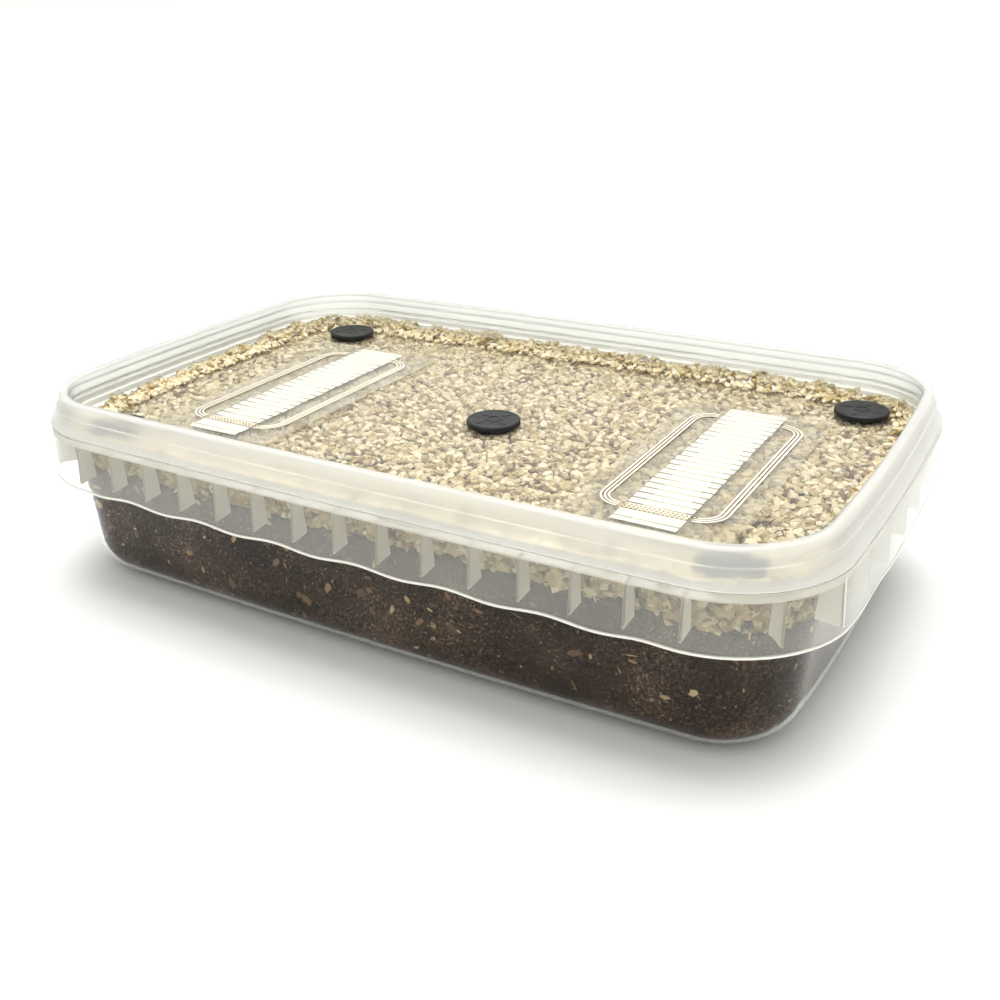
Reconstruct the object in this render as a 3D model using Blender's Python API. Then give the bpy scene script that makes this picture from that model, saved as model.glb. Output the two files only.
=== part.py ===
# Mushroom grow box: a clear rectangular tub with a hanging skirt and a tray-shaped snap-on lid.
# Inside are dark growing substrate and a casing layer of vermiculite. Two filter patches and five
# rubber stoppers sit on the lid's recessed panel. Origin at the bottom centre, X along the length,
# Y across the width, +Z up. Design sizes are in millimetres and MM turns them into metres.
import math
from functools import partial

import bmesh
import bpy

MM = 0.001

# Plan outline at the inner top edge of the lid's rim. Every other outline is offset from it.
HALF_LENGTH = 138.0
HALF_WIDTH = 84.6
CORNER_RADIUS = 26.5
LONG_SIDE_BOW = 2.2
SHORT_SIDE_BOW = 3.5

# Points along each long side, each short side and each corner of an outline.
PLAIN_STEPS = (8, 4, 6)
SKIRT_STEPS = (28, 12, 6)

# Heights above the surface that the box stands on.
SKIRT_BOTTOM = 40.8
FLANGE_BOTTOM = 56.9
FLANGE_TOP = 59.5
UPSTAND_TOP = 67.0
PANEL_TOP = 55.0
PANEL_BOTTOM = 54.0
RIM_TOP = 70.8
GAP = 0.3

# Tub wall
TUB_WALL = 1.2
TUB_FLOOR = 1.4
FOOT_RADIUS = 14.0
FOOT_OFFSET = -1.8
FOOT_STEPS = 4
WALL_OFFSET_AT_SKIRT = 0.2
WALL_OFFSET_AT_FLANGE = 1.4
FLANGE_OFFSET = 7.35
SKIRT_OFFSET = 8.25
SKIRT_WALL = 0.85

# The skirt's lower edge rises and falls once for every two ribs.
WAVE_HEIGHT = 0.6
LONG_RIB_PITCH = 16.0
LONG_RIB_COUNT = 15
SHORT_RIB_PITCH = 21.5
SHORT_RIB_COUNT = 7
RIB_THICKNESS = 0.8
RIB_BOTTOM_OUTER = 43.2
RIB_BOTTOM_INNER = 44.2
RIB_TOP = 58.0
# Each rib's ends lie inside the tub wall and inside the skirt: offsets at its foot and its top.
RIB_INNER_OFFSETS = (-0.2, 0.7)
RIB_OUTER_OFFSETS = (7.65, 6.95)

# Contents
SUBSTRATE_TOP = 46.0
CONTENT_CLEARANCE = 0.35

# Stoppers: one at the middle of the panel and one near each corner.
STOPPER_PLACES = {
    "stopper_centre": (3.0, -2.0),
    "stopper_far_left": (-113.5, 68.8),
    "stopper_far_right": (117.6, 69.2),
    "stopper_near_left": (-116.0, -69.4),
    "stopper_near_right": (117.0, -69.0),
}
STOPPER_HEAD_RADIUS = 9.9
STOPPER_HEAD = 2.3
STOPPER_NECK_RADIUS = 5.6
STOPPER_FOOT_RADIUS = 6.6
STOPPER_DEPTH = 3.4
STOPPER_SEGMENTS = 20
HOLE_RADIUS = 6.0
POCKET_RADIUS = 7.2

# Filters: a breathing slot in the panel, a white membrane strip over it and a clear film over both.
FILTER_CENTRE_X = 84.5
STRIP_SIZE = (21.4, 108.0)
STRIP_CENTRE_Y = -1.2
STRIP_THICKNESS = 0.4
FILM_SIZE = (55.0, 113.0)
FILM_THICKNESS = 0.3
FILM_RISE = 0.7
SLOT_SIZE = (10.0, 76.0)


def outline(offset, steps=PLAIN_STEPS):
    """Points round the box, anticlockwise from above: a rounded rectangle with slightly bowed sides."""
    long_steps, short_steps, corner_steps = steps
    half_x = HALF_LENGTH + offset
    half_y = HALF_WIDTH + offset
    radius = CORNER_RADIUS + offset
    corners = (
        (half_x - radius, half_y - radius, 0),
        (radius - half_x, half_y - radius, 90),
        (radius - half_x, radius - half_y, 180),
        (half_x - radius, radius - half_y, 270),
    )
    points = []
    for index, (centre_x, centre_y, start) in enumerate(corners):
        for step in range(corner_steps + 1):
            angle = math.radians(start + 90 * step / corner_steps)
            points.append((centre_x + radius * math.cos(angle), centre_y + radius * math.sin(angle)))
        # The straight side that leads to the next corner.
        side_steps = long_steps if index % 2 == 0 else short_steps
        from_x, from_y = points[-1]
        next_x, next_y, next_start = corners[(index + 1) % 4]
        to_x = next_x + radius * math.cos(math.radians(next_start))
        to_y = next_y + radius * math.sin(math.radians(next_start))
        for step in range(1, side_steps):
            share = step / side_steps
            points.append((from_x + (to_x - from_x) * share, from_y + (to_y - from_y) * share))
    return [bowed(x, y, half_x, half_y) for x, y in points]


def bowed(x, y, half_x, half_y):
    swell_x = SHORT_SIDE_BOW * max(0.0, 1 - (y / half_y) ** 2)
    swell_y = LONG_SIDE_BOW * max(0.0, 1 - (x / half_x) ** 2)
    return x + math.copysign(swell_x, x) * (abs(x) > 1e-6), y + math.copysign(swell_y, y) * (abs(y) > 1e-6)


def level_ring(offset, height, steps=PLAIN_STEPS):
    return [(x, y, height) for x, y in outline(offset, steps)]


def plain_material(name, color, roughness, alpha=1.0):
    material = bpy.data.materials.new(name)
    material.use_nodes = True
    shader = material.node_tree.nodes["Principled BSDF"]
    shader.inputs["Base Color"].default_value = (*color, 1.0)
    shader.inputs["Roughness"].default_value = roughness
    shader.inputs["Metallic"].default_value = 0.0
    shader.inputs["Alpha"].default_value = alpha
    material.diffuse_color = (*color, alpha)
    return material


def lofted(name, rings, material=None, closed=False):
    """A solid through rings of equal point count, closed by end caps or, if closed, back on itself."""
    shape = bmesh.new()
    loops = [[shape.verts.new((x * MM, y * MM, z * MM)) for x, y, z in ring] for ring in rings]
    pairs = list(zip(loops, loops[1:]))
    if closed:
        pairs.append((loops[-1], loops[0]))
    else:
        shape.faces.new(loops[0][::-1])
        shape.faces.new(loops[-1])
    for lower, upper in pairs:
        for index in range(len(lower)):
            after = (index + 1) % len(lower)
            shape.faces.new((lower[index], lower[after], upper[after], upper[index]))
    bmesh.ops.recalc_face_normals(shape, faces=shape.faces)
    return finished(name, shape, material)


def finished(name, shape, material):
    mesh = bpy.data.meshes.new(name)
    shape.to_mesh(mesh)
    shape.free()
    solid = bpy.data.objects.new(name, mesh)
    bpy.context.scene.collection.objects.link(solid)
    if material:
        mesh.materials.append(material)
        mesh.shade_smooth()
        mesh.set_sharp_from_angle(angle=math.radians(35))
    return solid


def helper(solid):
    """Marks a shape that only joins or cuts another one."""
    solid.hide_render = True
    solid.display_type = "WIRE"
    return solid


def combine(target, other, operation):
    modifier = target.modifiers.new(other.name, "BOOLEAN")
    modifier.operation = operation
    modifier.solver = "EXACT"
    modifier.object = other


def wall_offset(height):
    """How far the tub's outer wall stands out from the plan outline at a height above the foot."""
    if height < SKIRT_BOTTOM:
        share = (height - FOOT_RADIUS) / (SKIRT_BOTTOM - FOOT_RADIUS)
        return FOOT_OFFSET + (WALL_OFFSET_AT_SKIRT - FOOT_OFFSET) * share
    share = (height - SKIRT_BOTTOM) / (FLANGE_BOTTOM - SKIRT_BOTTOM)
    return WALL_OFFSET_AT_SKIRT + (WALL_OFFSET_AT_FLANGE - WALL_OFFSET_AT_SKIRT) * share


def foot_rings(inset, floor):
    """The rounded bottom edge, from the flat floor up to the wall, set in by the wall's thickness."""
    radius = FOOT_RADIUS - inset
    rings = []
    for step in range(FOOT_STEPS + 1):
        angle = math.radians(90 * step / FOOT_STEPS)
        offset = FOOT_OFFSET - FOOT_RADIUS + radius * math.sin(angle)
        height = floor + (FOOT_RADIUS - floor) * (1 - math.cos(angle))
        rings.append(level_ring(offset, height))
    return rings


def wavy_edge(offset):
    """The skirt's lower edge, which fades to level round the corners."""
    ring = []
    straight_x = HALF_LENGTH - CORNER_RADIUS
    straight_y = HALF_WIDTH - CORNER_RADIUS
    for x, y in outline(offset, SKIRT_STEPS):
        wave = 0.0
        if abs(x) < straight_x:
            wave = math.cos(math.pi * (x - LONG_RIB_PITCH / 2) / LONG_RIB_PITCH)
        elif abs(y) < straight_y:
            wave = math.cos(math.pi * (y - SHORT_RIB_PITCH / 2) / SHORT_RIB_PITCH)
        ring.append((x, y, SKIRT_BOTTOM + WAVE_HEIGHT * wave))
    return ring


def rib(shape, place):
    """One upright vane between the tub wall and the skirt. place gives its plan point at an offset."""
    inner_foot, inner_top = (place(offset) for offset in RIB_INNER_OFFSETS)
    outer_foot, outer_top = (place(offset) for offset in RIB_OUTER_OFFSETS)
    run_x = outer_foot[0] - inner_foot[0]
    run_y = outer_foot[1] - inner_foot[1]
    length = math.hypot(run_x, run_y)
    side_x = -run_y / length * RIB_THICKNESS / 2
    side_y = run_x / length * RIB_THICKNESS / 2
    corners = (
        (*inner_foot, RIB_BOTTOM_INNER),
        (*outer_foot, RIB_BOTTOM_OUTER),
        (*outer_top, RIB_TOP),
        (*inner_top, RIB_TOP),
    )
    faces = []
    for sign in (1, -1):
        faces.append(
            [
                shape.verts.new(((x + sign * side_x) * MM, (y + sign * side_y) * MM, z * MM))
                for x, y, z in corners
            ]
        )
    left, right = faces
    shape.faces.new(left)
    shape.faces.new(right[::-1])
    for index in range(4):
        after = (index + 1) % 4
        shape.faces.new((left[after], left[index], right[index], right[after]))


def on_side(offset, along, long_side, sign):
    """A point on a bowed side, at a distance along it from the middle."""
    half_x = HALF_LENGTH + offset
    half_y = HALF_WIDTH + offset
    if long_side:
        return bowed(along, sign * half_y, half_x, half_y)
    return bowed(sign * half_x, along, half_x, half_y)


def on_corner(offset, sign_x, sign_y):
    """The middle of a corner's arc."""
    reach = (CORNER_RADIUS + offset) * math.sqrt(0.5)
    x = sign_x * (HALF_LENGTH - CORNER_RADIUS + reach)
    y = sign_y * (HALF_WIDTH - CORNER_RADIUS + reach)
    return bowed(x, y, HALF_LENGTH + offset, HALF_WIDTH + offset)


def make_ribs():
    shape = bmesh.new()
    families = (
        (LONG_RIB_COUNT, LONG_RIB_PITCH, True),
        (SHORT_RIB_COUNT, SHORT_RIB_PITCH, False),
    )
    for count, pitch, long_side in families:
        for index in range(count):
            along = (index - (count - 1) / 2) * pitch
            for sign in (1, -1):
                rib(shape, partial(on_side, along=along, long_side=long_side, sign=sign))
    for sign_x in (1, -1):
        for sign_y in (1, -1):
            rib(shape, partial(on_corner, sign_x=sign_x, sign_y=sign_y))
    bmesh.ops.recalc_face_normals(shape, faces=shape.faces)
    return helper(finished("rib_union", shape, None))


def make_tub(material):
    """A thin-walled tub whose rim stands up inside the lid's channel, with its skirt and ribs."""
    rings = foot_rings(0.0, 0.0)
    rings.append(level_ring(wall_offset(SKIRT_BOTTOM), SKIRT_BOTTOM))
    rings.append(level_ring(WALL_OFFSET_AT_FLANGE, FLANGE_BOTTOM))
    rings.append(level_ring(2.6, FLANGE_BOTTOM + 1.6))
    rings.append(level_ring(2.5, UPSTAND_TOP - 0.3))
    rings.append(level_ring(2.2, UPSTAND_TOP))
    rings.append(level_ring(1.7, UPSTAND_TOP - 0.1))
    rings.append(level_ring(1.6, FLANGE_BOTTOM + 2.0))
    rings.append(level_ring(WALL_OFFSET_AT_FLANGE - TUB_WALL, FLANGE_BOTTOM - 0.4))
    rings.append(level_ring(wall_offset(SKIRT_BOTTOM) - TUB_WALL, SKIRT_BOTTOM))
    rings.extend(reversed(foot_rings(TUB_WALL, TUB_FLOOR)))
    tub = lofted("tub", rings, material)
    band = [
        level_ring(FLANGE_OFFSET - 0.3, FLANGE_TOP, SKIRT_STEPS),
        level_ring(FLANGE_OFFSET, FLANGE_TOP - 0.3, SKIRT_STEPS),
        level_ring(FLANGE_OFFSET, FLANGE_BOTTOM, SKIRT_STEPS),
        wavy_edge(SKIRT_OFFSET),
        wavy_edge(SKIRT_OFFSET - SKIRT_WALL),
        level_ring(FLANGE_OFFSET - SKIRT_WALL, FLANGE_BOTTOM, SKIRT_STEPS),
        level_ring(0.9, FLANGE_BOTTOM, SKIRT_STEPS),
        level_ring(2.1, FLANGE_TOP, SKIRT_STEPS),
    ]
    combine(tub, helper(lofted("skirt_union", band, closed=True)), "UNION")
    combine(tub, make_ribs(), "UNION")
    return tub


def make_lid(material):
    """A tray-shaped lid: recessed panel, upright tray wall, hollow rim and a flared lower lip."""
    profile = (
        (-4.3, PANEL_TOP),
        (-3.2, PANEL_TOP + 0.3),
        (-2.4, PANEL_TOP + 1.3),
        (-0.1, RIM_TOP - 1.1),
        (0.5, RIM_TOP - 0.3),
        (1.4, RIM_TOP),
        (2.3, RIM_TOP - 0.2),
        (2.9, RIM_TOP - 0.9),
        (4.3, 65.9),
        (4.9, 65.4),
        (5.2, 62.6),
        (7.15, 60.6),
        (7.2, FLANGE_TOP + GAP),
        (6.1, FLANGE_TOP + GAP),
        (4.2, 61.9),
        (3.9, 64.9),
        (2.1, 69.1),
        (1.5, 69.6),
        (0.9, 69.2),
        (-1.35, PANEL_TOP + 1.5),
        (-2.4, PANEL_BOTTOM + 0.3),
        (-4.3, PANEL_BOTTOM),
    )
    lid = lofted("lid", [level_ring(offset, height) for offset, height in profile], material)
    depth = 4.0
    for index, (x, y) in enumerate(STOPPER_PLACES.values()):
        hole = disc_stack(f"hole_{index}", ((HOLE_RADIUS, -depth), (HOLE_RADIUS, depth)), x, y, PANEL_TOP)
        combine(lid, helper(hole), "DIFFERENCE")
    for index, sign in enumerate((-1, 1)):
        width, length = SLOT_SIZE
        ends = (PANEL_TOP - depth, PANEL_TOP + depth)
        rings = [slot_ring(sign * FILTER_CENTRE_X, STRIP_CENTRE_Y, width, length, z) for z in ends]
        combine(lid, helper(lofted(f"slot_{index}", rings)), "DIFFERENCE")
    return lid


def slot_ring(centre_x, centre_y, width, length, height):
    """A slot with round ends, along Y."""
    radius = width / 2
    steps = 6
    ring = []
    for end, start in ((1, 0), (-1, 180)):
        for step in range(steps + 1):
            angle = math.radians(start + 180 * step / steps)
            x = centre_x + radius * math.cos(angle)
            y = centre_y + end * (length / 2 - radius) + radius * math.sin(angle)
            ring.append((x, y, height))
    return ring


def disc_stack(name, profile, x, y, base, material=None):
    """A turned solid: profile holds radius and height pairs above base, from the bottom up."""
    rings = []
    for radius, height in profile:
        ring = []
        for step in range(STOPPER_SEGMENTS):
            angle = 2 * math.pi * step / STOPPER_SEGMENTS
            ring.append((x + radius * math.cos(angle), y + radius * math.sin(angle), base + height))
        rings.append(ring)
    return lofted(name, rings, material)


def make_stoppers(material):
    """Rubber stoppers: a flat head on the panel, a neck through it and a wider foot that holds below."""
    profile = (
        (4.6, -STOPPER_DEPTH),
        (STOPPER_FOOT_RADIUS, -STOPPER_DEPTH + 0.9),
        (STOPPER_FOOT_RADIUS, -1.6),
        (STOPPER_NECK_RADIUS, -1.6),
        (STOPPER_NECK_RADIUS, 0.0),
        (STOPPER_HEAD_RADIUS, 0.0),
        (STOPPER_HEAD_RADIUS, STOPPER_HEAD - 0.6),
        (STOPPER_HEAD_RADIUS - 0.6, STOPPER_HEAD),
    )
    for name, (x, y) in STOPPER_PLACES.items():
        disc_stack(name, profile, x, y, PANEL_TOP + GAP, material)


def rectangle(centre_x, centre_y, width, length, height):
    half_x = width / 2
    half_y = length / 2
    corners = ((-half_x, -half_y), (half_x, -half_y), (half_x, half_y), (-half_x, half_y))
    return [(centre_x + x, centre_y + y, height) for x, y in corners]


def make_filters(strip_material, film_material):
    """Each filter is a white membrane strip on the panel and a clear film patch that rises over it."""
    rest = PANEL_TOP + GAP
    for side, sign in (("left", -1), ("right", 1)):
        centre_x = sign * FILTER_CENTRE_X
        width, length = STRIP_SIZE
        strip = [
            rectangle(centre_x, STRIP_CENTRE_Y, width, length, rest + level)
            for level in (0.0, STRIP_THICKNESS)
        ]
        lofted(f"filter_strip_{side}", strip, strip_material)
        crown = (width + 1.2, length + 1.2)
        shoulder = (width + 3.0, length + 2.2)
        film = [rectangle(centre_x, STRIP_CENTRE_Y, *crown, rest + FILM_RISE)]
        film.append(rectangle(centre_x, STRIP_CENTRE_Y, *shoulder, rest))
        film.append(rectangle(centre_x, STRIP_CENTRE_Y, *FILM_SIZE, rest))
        film.append(rectangle(centre_x, STRIP_CENTRE_Y, *FILM_SIZE, rest + FILM_THICKNESS))
        film.append(rectangle(centre_x, STRIP_CENTRE_Y, *shoulder, rest + FILM_THICKNESS))
        film.append(rectangle(centre_x, STRIP_CENTRE_Y, *crown, rest + FILM_RISE + FILM_THICKNESS))
        lofted(f"filter_film_{side}", film, film_material)


def content_ring(height):
    offset = wall_offset(height) - TUB_WALL - CONTENT_CLEARANCE
    return level_ring(offset, height)


def make_substrate(material):
    rings = foot_rings(TUB_WALL + CONTENT_CLEARANCE, TUB_FLOOR + CONTENT_CLEARANCE)
    rings.append(content_ring(SKIRT_BOTTOM))
    rings.append(content_ring(SUBSTRATE_TOP))
    return lofted("substrate", rings, material)


def make_vermiculite(material):
    """The casing layer, with a pocket under each stopper."""
    bottom = SUBSTRATE_TOP + GAP
    top = PANEL_BOTTOM - GAP
    layer = lofted("vermiculite", [content_ring(bottom), content_ring(top)], material)
    for index, (x, y) in enumerate(STOPPER_PLACES.values()):
        walls = ((POCKET_RADIUS, -2.6), (POCKET_RADIUS, 2.0))
        pocket = disc_stack(f"pocket_{index}", walls, x, y, top)
        combine(layer, helper(pocket), "DIFFERENCE")
    return layer


def clear_scene():
    for thing in list(bpy.data.objects):
        bpy.data.objects.remove(thing, do_unlink=True)


def main():
    clear_scene()
    clear_plastic = (0.86, 0.87, 0.84)
    make_tub(plain_material("clear_polypropylene_tub", clear_plastic, 0.25, 0.4))
    make_lid(plain_material("clear_polypropylene_lid", clear_plastic, 0.2, 0.4))
    make_filters(
        plain_material("white_membrane", (0.9, 0.9, 0.89), 0.8),
        plain_material("clear_film", (0.9, 0.9, 0.86), 0.2, 0.5),
    )
    make_stoppers(plain_material("black_rubber", (0.02, 0.021, 0.024), 0.55))
    make_substrate(plain_material("dark_substrate", (0.06, 0.042, 0.033), 0.95))
    make_vermiculite(plain_material("vermiculite_flakes", (0.55, 0.42, 0.24), 0.8))


main()
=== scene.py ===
import math
import random

import bmesh
import bpy
import numpy as np
from mathutils import Matrix, Vector, noise


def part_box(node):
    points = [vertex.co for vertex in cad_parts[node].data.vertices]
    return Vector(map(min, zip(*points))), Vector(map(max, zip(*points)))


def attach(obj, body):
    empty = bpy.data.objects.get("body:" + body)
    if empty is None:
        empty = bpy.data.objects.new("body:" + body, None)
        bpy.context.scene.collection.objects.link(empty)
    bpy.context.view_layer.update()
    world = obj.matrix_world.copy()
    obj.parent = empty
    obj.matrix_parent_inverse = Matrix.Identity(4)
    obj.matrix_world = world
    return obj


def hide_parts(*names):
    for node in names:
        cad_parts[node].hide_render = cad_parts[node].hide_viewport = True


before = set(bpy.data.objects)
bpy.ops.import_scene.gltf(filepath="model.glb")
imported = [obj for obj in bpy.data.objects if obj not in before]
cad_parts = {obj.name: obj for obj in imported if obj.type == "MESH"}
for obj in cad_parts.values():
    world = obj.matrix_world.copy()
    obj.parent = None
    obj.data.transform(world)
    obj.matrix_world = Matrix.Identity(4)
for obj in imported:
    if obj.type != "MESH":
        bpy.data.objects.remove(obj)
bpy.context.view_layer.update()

mm = 0.001
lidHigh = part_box("lid")[1]
stopperNames = sorted(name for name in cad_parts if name.startswith("stopper_"))

# Every wall follows one plan line, the inner top edge of the lid's rim. Sizes are in millimetres.
plan = {
    "lipOffset": 7.2,
    "cornerRadius": 26.5,
    "longBow": 2.2,
    "shortBow": 3.5,
    "longCuts": 91,
    "shortCuts": 51,
    "cornerSegments": 14,
}
halfLength = lidHigh.x / mm - plan["lipOffset"] - plan["shortBow"]
halfWidth = lidHigh.y / mm - plan["lipOffset"] - plan["longBow"]
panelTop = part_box("filter_strip_left")[0].z / mm - 0.3
rimTop = lidHigh.z / mm


def setInputs(tree, node, inputs):
    # a socket is linked and anything else is set
    for socket, value in inputs.items():
        if isinstance(value, bpy.types.NodeSocket):
            tree.links.new(value, node.inputs[socket])
        else:
            node.inputs[socket].default_value = value


def addNode(tree, kind, inputs=None, **settings):
    made = tree.nodes.new(kind)
    for name, value in settings.items():
        setattr(made, name, value)
    setInputs(tree, made, inputs or {})
    return made


def linear(hexColour):
    channels = [int(hexColour[start : start + 2], 16) / 255 for start in (1, 3, 5)]
    return [c / 12.92 if c <= 0.04045 else ((c + 0.055) / 1.055) ** 2.4 for c in channels] + [1.0]


def newMaterial(name):
    material = bpy.data.materials.new(name)
    material.use_nodes = True
    tree = material.node_tree
    shader = tree.nodes["Principled BSDF"]
    coordinates = addNode(tree, "ShaderNodeTexCoord").outputs["Object"]
    return material, tree, shader, coordinates


def mottle(tree, coordinates, sizeInMm, detail, distortion=0.0):
    # a noise whose features have that real size
    scale = 1.0 / (sizeInMm * mm)
    inputs = {"Vector": coordinates, "Scale": scale, "Detail": detail, "Distortion": distortion}
    return addNode(tree, "ShaderNodeTexNoise", inputs).outputs["Fac"]


def ranged(tree, value, low, high):
    # spreads the middle of a noise from low to high
    inputs = {"Value": value, "From Min": 0.3, "From Max": 0.7, "To Min": low, "To Max": high}
    return addNode(tree, "ShaderNodeMapRange", inputs).outputs["Result"]


def toned(tree, value, stops):
    # a colour ramp; stops holds a place from 0 to 1 and a colour for each
    shade = addNode(tree, "ShaderNodeValToRGB", {"Fac": value})
    ramp = shade.color_ramp
    while len(ramp.elements) < len(stops):
        ramp.elements.new(1.0)
    for element, (place, colour) in zip(ramp.elements, stops):
        element.position = place
        element.color = linear(colour)
    return shade.outputs["Color"]


def mixed(tree, share, first, second):
    inputs = {"Factor": share, "A": first, "B": second}
    return addNode(tree, "ShaderNodeMix", inputs, data_type="FLOAT").outputs["Result"]


def relief(tree, height, strength, depthInMm, **under):
    inputs = {"Height": height, "Strength": strength, "Distance": depthInMm * mm, **under}
    return addNode(tree, "ShaderNodeBump", inputs).outputs["Normal"]


def roundedRectangle(shape, halfX, halfY, radius, segments):
    # one flat face with rounded corners
    corners = bmesh.ops.create_grid(shape, x_segments=1, y_segments=1, size=1.0)["verts"]
    bmesh.ops.scale(shape, vec=(halfX, halfY, 1.0), verts=corners)
    rounding = {"offset": radius, "segments": segments, "profile": 0.5, "affect": "VERTICES"}
    bmesh.ops.bevel(shape, geom=corners, material=-1, **rounding)


def planRing(shape):
    # a rounded rectangle of edges; each point keeps its place on the plan line and its outward direction
    home = shape.verts.layers.float_vector.new("home")
    outward = shape.verts.layers.float_vector.new("outward")
    radius = plan["cornerRadius"]
    roundedRectangle(shape, halfLength, halfWidth, radius, plan["cornerSegments"])
    bmesh.ops.delete(shape, geom=shape.faces[:], context="FACES_ONLY")
    for along, cuts in ((0, plan["longCuts"]), (1, plan["shortCuts"])):
        sides = [e for e in shape.edges if abs(e.verts[0].co[along] - e.verts[1].co[along]) > radius]
        bmesh.ops.subdivide_edges(shape, edges=sides, cuts=cuts)
    for vert in shape.verts:
        x, y = vert.co.xy
        centreX = math.copysign(halfLength - radius, x)
        centreY = math.copysign(halfWidth - radius, y)
        way = Vector((x - centreX, y - centreY, 0.0))
        if abs(y) < abs(centreY) - 1e-3:
            way.y = 0.0
        if abs(x) < abs(centreX) - 1e-3:
            way.x = 0.0
        vert[home] = vert.co.copy()
        vert[outward] = way.normalized()
    return home, outward


def bowed(x, y, offset):
    # moves points, one or an array, out to the gently bowed sides
    halfX, halfY = halfLength + offset, halfWidth + offset
    swellX = plan["shortBow"] * np.maximum(0.0, 1 - (y / halfY) ** 2)
    swellY = plan["longBow"] * np.maximum(0.0, 1 - (x / halfX) ** 2)
    return x + np.copysign(swellX, x) * (np.abs(x) > 1e-4), y + np.copysign(swellY, y) * (np.abs(y) > 1e-4)


def placeRing(verts, layers, offset, height):
    home, outward = layers
    for vert in verts:
        spot = vert[home] + vert[outward] * offset
        x, y = bowed(spot.x, spot.y, offset)
        level = height(x, y) if callable(height) else height
        vert.co = Vector((x, y, level)) * mm


def softened(points):
    # rounds each corner of a profile; a point is how far out, how high, and the corner's radius
    count = len(points)
    made = []
    for index, (across, height, radius) in enumerate(points):
        if index in (0, count - 1) or not radius:
            made.append((across, height))
            continue
        here = Vector((across, height))
        before = Vector(points[index - 1][:2]) - here
        after = Vector(points[index + 1][:2]) - here
        turn = math.pi - before.angle(after)
        reach = min(radius * math.tan(turn / 2), before.length * 0.48, after.length * 0.48)
        bend = reach / math.tan(turn / 2)
        start = here + before.normalized() * reach
        middle = (before.normalized() + after.normalized()).normalized()
        centre = here + middle * math.hypot(bend, reach)
        spoke = start - centre
        side = 1 if before.x * after.y - before.y * after.x < 0 else -1
        steps = max(2, round(math.degrees(turn) / 18))
        for step in range(steps + 1):
            angle = side * turn * step / steps
            turned = Matrix.Rotation(angle, 2) @ spoke
            made.append(tuple(centre + turned))
    return made


def sweep(profile, closed=False):
    # carries a profile of (how far out, how high) round the plan line
    shape = bmesh.new()
    layers = planRing(shape)
    placeRing(shape.verts, layers, *profile[0])
    firstEdges = shape.edges[:]
    edges = firstEdges
    for offset, height in profile[1:]:
        grown = bmesh.ops.extrude_edge_only(shape, edges=edges)["geom"]
        verts = {part for part in grown if isinstance(part, bmesh.types.BMVert)}
        edges = [e for e in grown if isinstance(e, bmesh.types.BMEdge) and verts.issuperset(e.verts)]
        placeRing(verts, layers, offset, height)
    if closed:
        bmesh.ops.bridge_loops(shape, edges=firstEdges + edges)
    else:
        for ends in (firstEdges, edges):
            bmesh.ops.edgeloop_fill(shape, edges=ends)
    bmesh.ops.recalc_face_normals(shape, faces=shape.faces[:])
    return shape


def newPiece(name, shape, materials, body="root", sharp=38):
    mesh = bpy.data.meshes.new(name)
    shape.to_mesh(mesh)
    shape.free()
    for material in materials:
        mesh.materials.append(material)
    mesh.shade_smooth()
    if sharp:
        mesh.set_sharp_from_angle(angle=math.radians(sharp))
    piece = bpy.data.objects.new(name, mesh)
    bpy.context.scene.collection.objects.link(piece)
    if body:
        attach(piece, body)
    return piece


def combine(piece, other, operation):
    # joins or cuts with a closed helper shape, then removes the helper
    modifier = piece.modifiers.new(other.name, "BOOLEAN")
    modifier.operation = operation
    modifier.solver = "EXACT"
    modifier.object = other
    graph = bpy.context.evaluated_depsgraph_get()
    mesh = bpy.data.meshes.new_from_object(piece.evaluated_get(graph))
    piece.modifiers.clear()
    piece.data = mesh
    bpy.data.objects.remove(other)


def turnedSolid(shape, profile, segments):
    # a turned solid from its outline of (radius, height), both ends on the axis
    points = [shape.verts.new((radius * mm, 0.0, height * mm)) for radius, height in profile]
    edges = [shape.edges.new(pair) for pair in zip(points, points[1:])]
    fullTurn(shape, points + edges, segments)
    bmesh.ops.recalc_face_normals(shape, faces=shape.faces[:])


def fullTurn(shape, geom, segments):
    # a full spin about +Z; the outline's own face would lie inside the solid, so it goes
    axis = {"cent": (0.0, 0.0, 0.0), "axis": (0.0, 0.0, 1.0), "angle": 2 * math.pi}
    bmesh.ops.spin(shape, geom=geom, steps=segments, use_merge=True, **axis)
    inside = [face for face in shape.faces if len(face.verts) > 4]
    bmesh.ops.delete(shape, geom=inside, context="FACES_ONLY")
    bmesh.ops.remove_doubles(shape, verts=shape.verts[:], dist=1e-7)


def turnAbout(shape, degrees, verts):
    matrix = Matrix.Rotation(math.radians(degrees), 3, "Z")
    bmesh.ops.rotate(shape, cent=(0, 0, 0), matrix=matrix, verts=verts)


def thicken(shape, rise):
    # gives flat faces a second side, in the shape's own units
    grown = bmesh.ops.extrude_face_region(shape, geom=shape.faces[:], use_keep_orig=True)["geom"]
    raised = [part for part in grown if isinstance(part, bmesh.types.BMVert)]
    bmesh.ops.translate(shape, vec=(0, 0, rise), verts=raised)


def absorb(shape, other):
    # moves another shape's faces into this one
    holder = bpy.data.meshes.new("holder")
    other.to_mesh(holder)
    other.free()
    shape.from_mesh(holder)
    bpy.data.meshes.remove(holder)


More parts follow.
